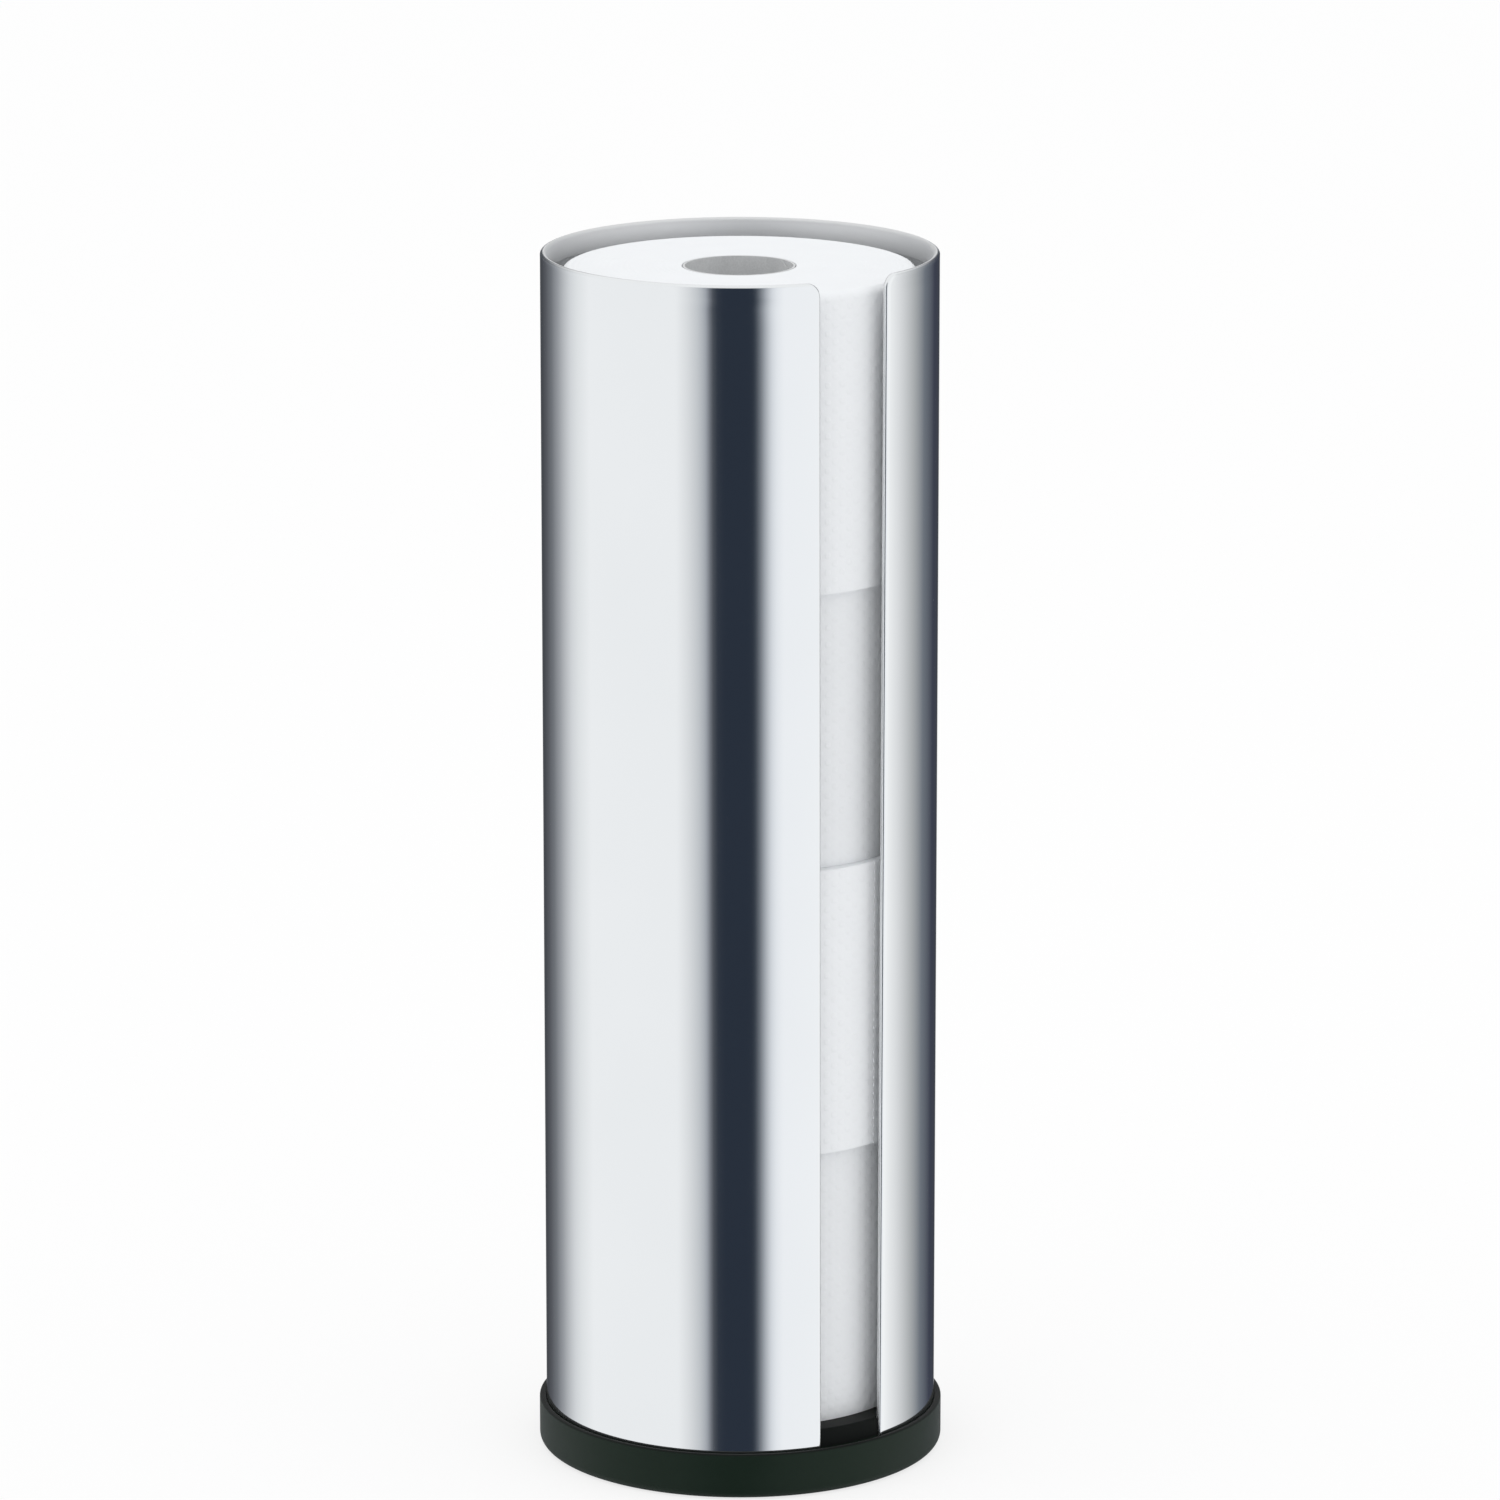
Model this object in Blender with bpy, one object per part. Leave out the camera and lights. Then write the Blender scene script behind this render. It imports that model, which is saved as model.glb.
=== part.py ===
"""Free-standing holder for spare toilet rolls, loaded with four of them.

One steel sheet is rolled into an open tube whose two upright edges stay apart as a slot of full height, a little
wider at the rim, where nothing holds the sheet. Its rim and both slot edges are hemmed inwards. The tube stands in
the groove of a moulded base cap, and the rolls stand inside on the cap's raised floor. Metres, +Z up, slot towards
-Y, origin on the ground under the tube's axis.
"""

import math

import bmesh
import bpy

# Room between pieces that touch or fit into each other
FIT_GAP = 0.0003

# Steel tube
TUBE_RADIUS = 0.070
SHEET_THICKNESS = 0.0008
HEM_THICKNESS = 0.0022
HEM_WIDTH = 0.008
SLOT_WIDTH = 0.0255
SLOT_SPREAD = 0.0024
SLOT_CORNER_RADIUS = 0.005
RIM_ABOVE_ROLLS = 0.005

# Base cap
SOLE_THICKNESS = 0.005
LIP_WALL = 0.0022
LIP_HEIGHT = 0.0165
LIP_EDGE_RADIUS = 0.0007
FLOOR_ABOVE_LIP = 0.0063
FLOOR_EDGE_RADIUS = 0.001
FLOOR_THICKNESS = 0.0025
FOOT_ROUNDING = 0.003
FOOT_WIDTH = 0.0045
SKIRT_WALL = 0.0035
HUB_RADIUS = 0.009
RIB_THICKNESS = 0.0018
RIB_SETBACK = 0.001
RIB_COUNT = 10
RECESS_RELIEF = 0.0005
CUT_OVERRUN = 0.002

# Toilet rolls
ROLL_COUNT = 4
ROLL_HEIGHT = 0.1015
ROLL_CLEARANCE = 0.0051
ROLL_EDGE_RADIUS = 0.003
PAPER_LAP = 0.0004
CORE_BORE = 0.0380
CORE_WALL = 0.0008

# How high each roll is, from the bottom one up, as shares of the usual height: soft rolls differ a little
ROLL_HEIGHT_SHARES = (0.982, 1.011, 0.966, 1.041)

# How far each roll, from the bottom one up, stands from the middle, as shares of its clearance in X and Y
ROLL_SHIFT_SHARES = ((0.02, 0.33), (-0.08, -0.38), (0.22, 0.33), (-0.22, -0.21))

# Where each roll's loose end lies, as shares of a full turn from +X
ROLL_TURN_SHARES = (0.42, 0.787, 0.11, 0.60)

# Facets
TURN_STEPS = 72
ROLL_STEPS = 60
CORE_STEPS = 40
FOLD_STEPS = 4
CORNER_STEPS = 5
ROUND_STEPS = 3
POCKET_STEPS = 3
MERGE_DISTANCE = 0.000001
SHARP_ANGLE = math.radians(35)

# Sizes that follow from those above
HEM_INNER_RADIUS = TUBE_RADIUS - HEM_THICKNESS
PLUG_RADIUS = TUBE_RADIUS - SHEET_THICKNESS - FIT_GAP
LIP_INNER_RADIUS = TUBE_RADIUS + FIT_GAP
LIP_RADIUS = LIP_INNER_RADIUS + LIP_WALL
FOOT_INNER_RADIUS = LIP_RADIUS - FOOT_ROUNDING - FOOT_WIDTH
RECESS_RADIUS = HEM_INNER_RADIUS - FIT_GAP
SKIRT_INNER_RADIUS = RECESS_RADIUS - SKIRT_WALL
FLOOR_TOP = LIP_HEIGHT + FLOOR_ABOVE_LIP
POCKET_TOP = FLOOR_TOP - FLOOR_THICKNESS
ROLL_RADIUS = HEM_INNER_RADIUS - ROLL_CLEARANCE
CORE_RADIUS = CORE_BORE / 2 + CORE_WALL
ROLL_HEIGHTS = [
    ROLL_HEIGHT * ROLL_HEIGHT_SHARES[number % len(ROLL_HEIGHT_SHARES)] for number in range(ROLL_COUNT)
]
TUBE_BOTTOM = SOLE_THICKNESS + FIT_GAP
TUBE_TOP = FLOOR_TOP + sum(ROLL_HEIGHTS) + ROLL_COUNT * FIT_GAP + RIM_ABOVE_ROLLS
FULL_TURN = 2 * math.pi
SLOT_HALF_ANGLE = SLOT_WIDTH / TUBE_RADIUS / 2
SLOT_MIDDLE = -FULL_TURN / 4
SHEET_START = SLOT_MIDDLE + SLOT_HALF_ANGLE
SHEET_LENGTH = TUBE_RADIUS * (FULL_TURN - 2 * SLOT_HALF_ANGLE)


def clear_scene():
    for item in list(bpy.data.objects):
        bpy.data.objects.remove(item, do_unlink=True)


def plain_material(name, colour, roughness, metallic=0.0):
    material = bpy.data.materials.new(name)
    material.use_nodes = True
    shader = material.node_tree.nodes["Principled BSDF"]
    shader.inputs["Base Color"].default_value = (*colour, 1.0)
    shader.inputs["Roughness"].default_value = roughness
    shader.inputs["Metallic"].default_value = metallic
    return material


def polished_steel():
    return plain_material("polished_steel", (0.80, 0.82, 0.83), 0.06, metallic=1.0)


def black_plastic():
    return plain_material("black_plastic", (0.010, 0.017, 0.014), 0.38)


def tissue_paper():
    return plain_material("tissue_paper", (0.84, 0.85, 0.86), 0.9)


def core_board():
    return plain_material("core_board", (0.62, 0.61, 0.60), 0.85)


def finished_object(name, bm, material):
    """Turns closed bmesh geometry into a smooth-shaded object with faces pointing out."""
    bmesh.ops.remove_doubles(bm, verts=bm.verts, dist=MERGE_DISTANCE)
    bmesh.ops.recalc_face_normals(bm, faces=bm.faces)
    mesh = bpy.data.meshes.new(name)
    bm.to_mesh(mesh)
    bm.free()
    mesh.shade_smooth()
    mesh.set_sharp_from_angle(angle=SHARP_ANGLE)
    if material:
        mesh.materials.append(material)
    item = bpy.data.objects.new(name, mesh)
    bpy.context.scene.collection.objects.link(item)
    return item


def arc(centre, radius, first, last, steps=ROUND_STEPS):
    """Points of an arc in a turned outline, both ends included, with its angles in degrees."""
    points = []
    for step in range(steps + 1):
        angle = math.radians(first + (last - first) * step / steps)
        points.append((centre[0] + radius * math.cos(angle), centre[1] + radius * math.sin(angle)))
    return points


def turned_mesh(outline, steps, closed=False):
    """Spins an outline of (radius, height) points once round the Z axis."""
    bm = bmesh.new()
    verts = [bm.verts.new((radius, 0, height)) for radius, height in outline]
    pairs = list(zip(verts, verts[1:]))
    if closed:
        pairs.append((verts[-1], verts[0]))
    edges = [bm.edges.new(pair) for pair in pairs]
    bmesh.ops.spin(bm, geom=verts + edges, axis=(0, 0, 1), cent=(0, 0, 0), angle=FULL_TURN, steps=steps)
    return bm


def fold_arc(radius, first, last):
    """Half round of a fold whose middle lies half the hem's thickness in from the edge and behind the face."""
    middle = HEM_THICKNESS / 2
    points = []
    for step in range(FOLD_STEPS + 1):
        angle = math.pi * (first + (last - first) * step / FOLD_STEPS)
        points.append((middle - radius * math.sin(angle), middle - radius * math.cos(angle)))
    return points


def hem_section():
    """The sheet folded back on itself, as (distance in from the edge, depth behind the outer face) points.

    They run round the outside of the fold, along the turned leaf, over its cut edge and back inside the fold.
    """
    section = fold_arc(HEM_THICKNESS / 2, 0, 1)
    section.append((HEM_WIDTH, HEM_THICKNESS))
    section.append((HEM_WIDTH, HEM_THICKNESS - SHEET_THICKNESS))
    return section + fold_arc(HEM_THICKNESS / 2 - SHEET_THICKNESS, 1, 0)


def corner_point(inset, angle, mirrored):
    """A point of the flat sheet's rounded top corner, moved in from the edge; past the radius it is a mitre."""
    centre = max(inset, SLOT_CORNER_RADIUS)
    radius = max(SLOT_CORNER_RADIUS - inset, 0)
    length = SLOT_SPREAD / 2 + centre - radius * math.cos(angle)
    height = TUBE_TOP - centre + radius * math.sin(angle)
    return (SHEET_LENGTH - length if mirrored else length, height)


def edge_stations(inset):
    """Points along the hemmed edge at one inset: up one slot edge, along the rim and down the other edge.

    Each slot edge leans back by half the spread on its way up to the rim.
    """
    quarter = [FULL_TURN / 4 * step / CORNER_STEPS for step in range(CORNER_STEPS + 1)]
    stations = [(inset, TUBE_BOTTOM)]
    stations += [corner_point(inset, angle, False) for angle in quarter]
    stations += [corner_point(inset, angle, True) for angle in reversed(quarter)]
    stations.append((SHEET_LENGTH - inset, TUBE_BOTTOM))
    return stations


def flat_hemmed_sheet():
    """The sheet before it is rolled, with X along its length, Y the depth behind its outer face and Z its height.

    The hem's section is carried along the edge; the outer face, the inner face and the raw bottom edge close it.
    """
    bm = bmesh.new()
    rows = []
    for inset, depth in hem_section():
        rows.append([bm.verts.new((length, depth, height)) for length, height in edge_stations(inset)])
    for row, next_row in zip(rows, rows[1:]):
        for place in range(len(row) - 1):
            bm.faces.new((row[place], row[place + 1], next_row[place + 1], next_row[place]))
    bm.faces.new(rows[0])
    bm.faces.new(rows[-1])
    bm.faces.new([row[0] for row in rows] + [row[-1] for row in reversed(rows)])
    bmesh.ops.remove_doubles(bm, verts=bm.verts, dist=MERGE_DISTANCE)
    return bm


def roll_sheet(bm):
    """Creases the flat sheet where each facet of the tube ends, then wraps its length round the axis."""
    for step in range(TURN_STEPS):
        length = TUBE_RADIUS * ((FULL_TURN * step / TURN_STEPS - SHEET_START) % FULL_TURN)
        if length < SHEET_LENGTH:
            bmesh.ops.bisect_plane(
                bm,
                geom=bm.verts[:] + bm.edges[:] + bm.faces[:],
                dist=MERGE_DISTANCE,
                plane_co=(length, 0, 0),
                plane_no=(1, 0, 0),
            )
    for vert in bm.verts:
        angle = SHEET_START + vert.co.x / TUBE_RADIUS
        radius = TUBE_RADIUS - vert.co.y
        vert.co = (radius * math.cos(angle), radius * math.sin(angle), vert.co.z)


def make_steel_tube():
    bm = flat_hemmed_sheet()
    roll_sheet(bm)
    return finished_object("steel_tube", bm, polished_steel())


def base_outline():
    """Half section of the cap, from its floor on the axis out over groove and lip, and back underneath."""
    floor_edge = (PLUG_RADIUS - FLOOR_EDGE_RADIUS, FLOOR_TOP - FLOOR_EDGE_RADIUS)
    lip_level = LIP_HEIGHT - LIP_EDGE_RADIUS
    outline = [(0, FLOOR_TOP)]
    outline += arc(floor_edge, FLOOR_EDGE_RADIUS, 90, 0)
    outline += [(PLUG_RADIUS, SOLE_THICKNESS), (LIP_INNER_RADIUS, SOLE_THICKNESS)]
    outline += arc((LIP_INNER_RADIUS + LIP_EDGE_RADIUS, lip_level), LIP_EDGE_RADIUS, 180, 90)
    outline += arc((LIP_RADIUS - LIP_EDGE_RADIUS, lip_level), LIP_EDGE_RADIUS, 90, 0)
    outline += arc((LIP_RADIUS - FOOT_ROUNDING, FOOT_ROUNDING), FOOT_ROUNDING, 0, -90, ROUND_STEPS + 1)
    outline += [(FOOT_INNER_RADIUS, 0), (FOOT_INNER_RADIUS, RIB_SETBACK), (0, RIB_SETBACK)]
    return outline


def add_sector(bm, radii, angles, heights, wall=0.0):
    """Adds a block with two round and two straight sides; half of wall is kept free along each straight side."""
    inner, outer = radii
    corners = []
    for radius, direction in ((outer, 1), (inner, -1)):
        spare = math.asin(wall / 2 / radius)
        ends = (angles[0] + spare, angles[1] - spare)[::direction]
        for step in range(POCKET_STEPS + 1):
            angle = ends[0] + (ends[1] - ends[0]) * step / POCKET_STEPS
            corners.append((radius * math.cos(angle), radius * math.sin(angle)))
    rings = [[bm.verts.new((x, y, height)) for x, y in corners] for height in heights]
    low, high = rings
    bm.faces.new(reversed(low))
    bm.faces.new(high)
    for place, vert in enumerate(low):
        after = (place + 1) % len(low)
        bm.faces.new((vert, low[after], high[after], high[place]))


def cut_with(item, name, bm):
    """Takes the bmesh shapes out of an object with a live Boolean."""
    cutter = finished_object(name, bm, None)
    cutter.hide_render = True
    cutter.display_type = "WIRE"
    boolean = item.modifiers.new(name, "BOOLEAN")
    boolean.operation = "DIFFERENCE"
    boolean.solver = "EXACT"
    boolean.object = cutter


def underside_pockets():
    """Two rings of pockets under the cap's floor, which leave ribs from the hub to the skirt and one round rib."""
    middle = (HUB_RADIUS + SKIRT_INNER_RADIUS) / 2
    bm = bmesh.new()
    for rib in range(RIB_COUNT):
        angles = (FULL_TURN * rib / RIB_COUNT, FULL_TURN * (rib + 1) / RIB_COUNT)
        heights = (-CUT_OVERRUN, POCKET_TOP)
        add_sector(bm, (HUB_RADIUS, middle - RIB_THICKNESS / 2), angles, heights, RIB_THICKNESS)
        add_sector(bm, (middle + RIB_THICKNESS / 2, SKIRT_INNER_RADIUS), angles, heights, RIB_THICKNESS)
    return bm


def hem_recesses():
    """Two places in the cap's plug where the thicker slot hems of the tube stand, so that it can't turn."""
    near = (SLOT_WIDTH / 2 - FIT_GAP) / TUBE_RADIUS
    far = (SLOT_WIDTH / 2 + HEM_WIDTH + FIT_GAP) / TUBE_RADIUS
    heights = (SOLE_THICKNESS - RECESS_RELIEF, FLOOR_TOP + CUT_OVERRUN)
    bm = bmesh.new()
    add_sector(bm, (RECESS_RADIUS, TUBE_RADIUS), (SLOT_MIDDLE + near, SLOT_MIDDLE + far), heights)
    add_sector(bm, (RECESS_RADIUS, TUBE_RADIUS), (SLOT_MIDDLE - far, SLOT_MIDDLE - near), heights)
    return bm


def make_base_cap():
    cap = finished_object("base_cap", turned_mesh(base_outline(), TURN_STEPS), black_plastic())
    cut_with(cap, "underside_pocket_cutter", underside_pockets())
    cut_with(cap, "hem_recess_cutter", hem_recesses())
    return cap


def roll_section(height):
    """The paper across its winding, as (radius, level, how much of the lap's step shows there) points."""
    bore = CORE_RADIUS + FIT_GAP
    edge = ROLL_RADIUS - ROLL_EDGE_RADIUS
    top = height - ROLL_EDGE_RADIUS
    section = [(bore, height, 0)]
    for step in range(ROUND_STEPS + 2):
        angle = FULL_TURN / 4 * step / (ROUND_STEPS + 1)
        reach = math.sin(angle)
        section.append((edge + ROLL_EDGE_RADIUS * reach, top + ROLL_EDGE_RADIUS * math.cos(angle), reach))
    section += [(radius, height - level, reach) for radius, level, reach in reversed(section)]
    return section


def paper_winding(height, turn_share):
    """The wound paper as one body whose outer face runs in by one lap per turn, down to the step of the loose end."""
    bm = bmesh.new()
    section = roll_section(height)
    columns = []
    for step in range(ROLL_STEPS + 1):
        share = step / ROLL_STEPS
        angle = FULL_TURN * (turn_share + share)
        column = []
        for radius, level, reach in section:
            place = radius - PAPER_LAP * share * reach
            column.append(bm.verts.new((place * math.cos(angle), place * math.sin(angle), level)))
        columns.append(column)
    for column, after in zip(columns, columns[1:] + columns[:1]):
        for place in range(len(section)):
            below = (place + 1) % len(section)
            bm.faces.new((column[place], column[below], after[below], after[place]))
    return bm


def core_outline(height):
    inner = CORE_BORE / 2
    return [(inner, height), (CORE_RADIUS, height), (CORE_RADIUS, 0), (inner, 0)]


def make_rolls():
    """The stack from the bottom up; each roll is parented to the one it stands on, so lifting it lifts the rest."""
    paper = tissue_paper()
    board = core_board()
    below = None
    last_place = (0, 0)
    rise = FLOOR_TOP + FIT_GAP
    for number, height in enumerate(ROLL_HEIGHTS):
        shift = ROLL_SHIFT_SHARES[number % len(ROLL_SHIFT_SHARES)]
        turn_share = ROLL_TURN_SHARES[number % len(ROLL_TURN_SHARES)]
        place = (ROLL_CLEARANCE * shift[0], ROLL_CLEARANCE * shift[1])
        roll = finished_object(f"paper_roll_{number + 1}", paper_winding(height, turn_share), paper)
        wall = turned_mesh(core_outline(height), CORE_STEPS, True)
        core = finished_object(f"cardboard_core_{number + 1}", wall, board)
        core.parent = roll
        roll.location = (place[0] - last_place[0], place[1] - last_place[1], rise)
        roll.parent = below
        rise = height + FIT_GAP
        below = roll
        last_place = place


def main():
    clear_scene()
    make_steel_tube()
    make_base_cap()
    make_rolls()


main()
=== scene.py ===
"""The looks of a free-standing holder for spare toilet rolls: a bright steel tube in a black moulded cap.

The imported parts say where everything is. Each piece here is a finer surface over its part, worked out as
whole numpy arrays from the real sizes of the sheet, the moulding and the wound paper. Metres, +Z up, slot
towards -Y.
"""

import math

import bmesh
import bpy
import numpy as np
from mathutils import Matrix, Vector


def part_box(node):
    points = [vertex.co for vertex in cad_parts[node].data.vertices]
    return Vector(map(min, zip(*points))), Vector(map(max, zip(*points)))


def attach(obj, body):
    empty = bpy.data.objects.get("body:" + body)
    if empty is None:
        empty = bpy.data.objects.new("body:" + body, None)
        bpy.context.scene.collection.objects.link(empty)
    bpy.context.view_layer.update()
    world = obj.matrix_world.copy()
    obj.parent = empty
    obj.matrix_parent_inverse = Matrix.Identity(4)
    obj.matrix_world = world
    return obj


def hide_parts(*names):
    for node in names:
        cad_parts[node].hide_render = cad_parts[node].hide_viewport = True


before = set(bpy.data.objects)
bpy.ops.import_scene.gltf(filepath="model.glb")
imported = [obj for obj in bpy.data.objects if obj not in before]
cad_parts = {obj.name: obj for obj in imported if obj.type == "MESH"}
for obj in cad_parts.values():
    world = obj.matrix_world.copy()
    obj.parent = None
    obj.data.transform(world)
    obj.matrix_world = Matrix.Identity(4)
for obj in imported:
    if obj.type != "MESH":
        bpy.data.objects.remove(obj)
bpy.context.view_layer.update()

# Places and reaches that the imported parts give
TUBE_LOW, TUBE_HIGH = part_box("steel_tube")
CAP_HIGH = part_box("base_cap")[1]
TUBE_RADIUS = TUBE_HIGH.x
LIP_RADIUS = CAP_HIGH.x
FLOOR_TOP = CAP_HIGH.z
ROLL_COUNT = 4
FIT_GAP = 0.0003
FULL_TURN = 2 * math.pi

# Steel sheet
SHEET_THICKNESS = 0.0008
HEM_THICKNESS = 0.0022
HEM_WIDTH = 0.008
CUT_ROUNDING = 0.00015
SLOT_WIDTH = 0.0255
SLOT_SPREAD = 0.0024
SLOT_CORNER_RADIUS = 0.005
SLOT_MIDDLE = -FULL_TURN / 4
SHEET_START = SLOT_MIDDLE + SLOT_WIDTH / TUBE_RADIUS / 2
SHEET_LENGTH = TUBE_RADIUS * (FULL_TURN - SLOT_WIDTH / TUBE_RADIUS)

# Base cap
SOLE_THICKNESS = 0.005
LIP_HEIGHT = 0.0165
LIP_EDGE_RADIUS = 0.0007
FLOOR_EDGE_RADIUS = 0.001
FLOOR_THICKNESS = 0.0025
FOOT_ROUNDING = 0.003
FOOT_WIDTH = 0.0045
SKIRT_WALL = 0.0035
HUB_RADIUS = 0.009
RIB_THICKNESS = 0.0018
RIB_SETBACK = 0.001
RIB_COUNT = 10
RECESS_RELIEF = 0.0005
PLUG_RADIUS = TUBE_RADIUS - SHEET_THICKNESS - FIT_GAP
RECESS_RADIUS = TUBE_RADIUS - HEM_THICKNESS - FIT_GAP

# Toilet rolls, from the bottom one up
ROLL_RADIUS = 0.0627
TOP_EDGE_RADIUS = 0.001
LOOSE_EDGE_RADIUS = 0.0032
LOW_EDGE_RADIUS = 0.0001
REST_SQUASH = 0.00025
PAPER_LAP = 0.0004
CORE_WALL = 0.0008
LOOSE_END_SHARES = (0.42, 0.787, 0.11, 0.60)
RIPPLE_PITCH = 0.0020
RIPPLE_DEPTH = 0.00012
RIPPLE_MEAN = 0.65
RIPPLE_SWING = 0.35
RIPPLE_WANDER = 400
SAG_DEPTH = 0.00025
SAG_WAVES_ROUND = (3, 5)
SAG_WAVES_UP = 31
SEAM_PITCH = 0.075
SEAM_DEPTH = 0.00018
SEAM_WIDTH = 0.0006
EMBOSS_PITCH = 0.006
EMBOSS_DEPTH = 0.00012
EMBOSS_RANGE = (0.2, 0.8)

# Grid steps and points
SIDE_STEPS = 60
RIM_STEPS = 280
CORNER_STEPS = 8
LEAF_POINTS = 3
BESIDE_FOLD_POINTS = 5
FOLD_STEPS = 12
ROUND_STEPS = 6
FLOOR_STEPS = 12
SECTOR_STEPS = 16
BESIDE_SLOT_STEPS = 5
ROLL_STEPS = 240
END_STEPS = 90
SIDE_ROWS = 40
CORE_STEPS = 120
CORE_ROWS = 24
SEAM_POINTS = 5
MERGE_DISTANCE = 0.000001
SHARP_ANGLE = math.radians(35)

# Reliefs: how fine the noise is, its detail, and the strength and depth of its bump
STEEL_MARKS = (1400.0, 2.0, 0.05, 0.00002)
STEEL_CLOUDS = (16.0, 3.0, 0.0, 0.0)
PLASTIC_GRAIN = (2600.0, 2.0, 0.25, 0.00004)
PLASTIC_PATCHES = (45.0, 4.0, 0.0, 0.0)
PAPER_CREPE = (700.0, 4.0, 0.3, 0.00008)
PAPER_FIBRES = (90.0, 5.0, 0.0, 0.0)
BOARD_FLECKS = (1500.0, 3.0, 0.3, 0.00008)
BOARD_CLOUDS = (120.0, 4.0, 0.0, 0.0)
MARKS_STRETCH = (1, 1, 0.006)
CREPE_STRETCH = (1, 1, 3)
NOISE_RANGE = (0.3, 0.7)
MOTTLE_RANGE = (0.7, 1.3)

# Colours, most of them as the two ends between which noise moves them
BRIGHT_STEEL = ((0.785, 0.81, 0.82, 1), (0.825, 0.845, 0.855, 1))
SATIN_STEEL = ((0.745, 0.75, 0.755, 1), (0.795, 0.80, 0.805, 1))
OUTSIDE_BLACK = ((0.0056, 0.0142, 0.0084, 1), (0.0088, 0.0188, 0.0122, 1))
# The deeper black is painted shade for the cap where the tube encloses it and on the lip's top edge, not the
# moulding's own colour
PAINTED_SHADE_BLACK = ((0.0018, 0.0028, 0.0025, 1), (0.0032, 0.0048, 0.0042, 1))
TISSUE_WHITE = ((0.85, 0.867, 0.885, 1), (0.875, 0.893, 0.91, 1))
BOARD_GREY = ((0.60, 0.61, 0.615, 1), (0.715, 0.725, 0.73, 1))
FLOOR_WHITE = (0.95, 0.95, 0.95, 1)
WHITE = (1, 1, 1, 1)

# Roughness: the steel's own with what is added to it, and ranges that noise moves through
STEEL_ROUGHNESS = 0.03
MARKS_ROUGHNESS = 0.02
CLOUDS_ROUGHNESS = 0.03
BEND_ROUGHNESS = 0.15
INNER_SIDE_ROUGHNESS = 0.45
PLASTIC_ROUGHNESS = (0.36, 0.46)
ABOVE_LIP_ROUGHNESS = 0.3
PAPER_ROUGHNESS = (0.85, 0.97)
BOARD_ROUGHNESS = (0.75, 0.9)

# Camera, as the photograph was taken: its place round the axis and how large a pixel is
CAMERA_AZIMUTH = math.radians(-34.8)
CAMERA_DISTANCE = 2.801
CAMERA_HEIGHT = 0.930
CAMERA_PITCH = math.radians(13.544)
IMAGE_PIXELS = 1500
FOCAL_PIXELS = 8117
AXIS_PIXEL = 739.8
SENSOR_WIDTH = 36.0

# Light and floor
SKY_LEVEL = 1.3
SKY_SHAPE_SHARE = 0.8
OVERHEAD_RANGE = (0.28, 0.6)
LAMP_SIZE = 1.6
LAMP_ENERGY = 2.5
LAMP_PLACE = (-0.3, -0.4, 2.4)
LAMP_TILT = (math.radians(-9), math.radians(-7), 0)
FLOOR_SIZE = 30.0
FLOOR_DROP = 0.0002
FLOOR_SHADE_SHARE = 0.25


def quads(grid, wrap_rows=False, wrap_columns=False):
    """Faces between neighbours in a grid of vertex numbers, each as the four numbers of its corners."""
    if wrap_rows:
        grid = np.vstack([grid, grid[:1]])
    if wrap_columns:
        grid = np.hstack([grid, grid[:, :1]])
    corners = (grid[:-1, :-1], grid[1:, :-1], grid[1:, 1:], grid[:-1, 1:])
    return np.stack(corners, axis=-1).reshape(-1, 4)


def numbered(rows, columns, first=0):
    """A grid of vertex numbers that counts on from the first one, row by row."""
    return first + np.arange(rows * columns).reshape(rows, columns)


def cylinder_points(angle, radius, height):
    """Points at an angle round the axis, a distance from it and a height, all three arrays of one shape."""
    x, y, z = np.broadcast_arrays(radius * np.cos(angle), radius * np.sin(angle), height)
    return np.stack([x, y, z], axis=-1).reshape(-1, 3)


def arc(centre, radius, first, last, steps=ROUND_STEPS):
    """Points of an arc in a section, ends included: centre plus radius times the angle's cosine and sine."""
    angle = np.radians(np.linspace(first, last, steps + 1))
    return np.stack([centre[0] + radius * np.cos(angle), centre[1] + radius * np.sin(angle)], axis=-1)


def make_piece(name, points, faces, material, body, node, marks):
    """Closes the surface's seams and poles, turns its faces outwards and sets it over its CAD node.

    Marks holds what the piece's material reads at each point, by the attribute's name: one row of three
    numbers each.
    """
    mesh = bpy.data.meshes.new(name)
    mesh.from_pydata(points.tolist(), [], faces)
    for title, rows in marks.items():
        mesh.attributes.new(title, "FLOAT_VECTOR", "POINT").data.foreach_set("vector", rows.ravel())
    bm = bmesh.new()
    bm.from_mesh(mesh)
    bmesh.ops.remove_doubles(bm, verts=bm.verts, dist=MERGE_DISTANCE)
    bmesh.ops.recalc_face_normals(bm, faces=bm.faces)
    bm.to_mesh(mesh)
    bm.free()
    mesh.shade_smooth()
    mesh.set_sharp_from_angle(angle=SHARP_ANGLE)
    mesh.materials.append(material)
    piece = bpy.data.objects.new(name, mesh)
    bpy.context.scene.collection.objects.link(piece)
    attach(piece, body)
    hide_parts(node)


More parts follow.
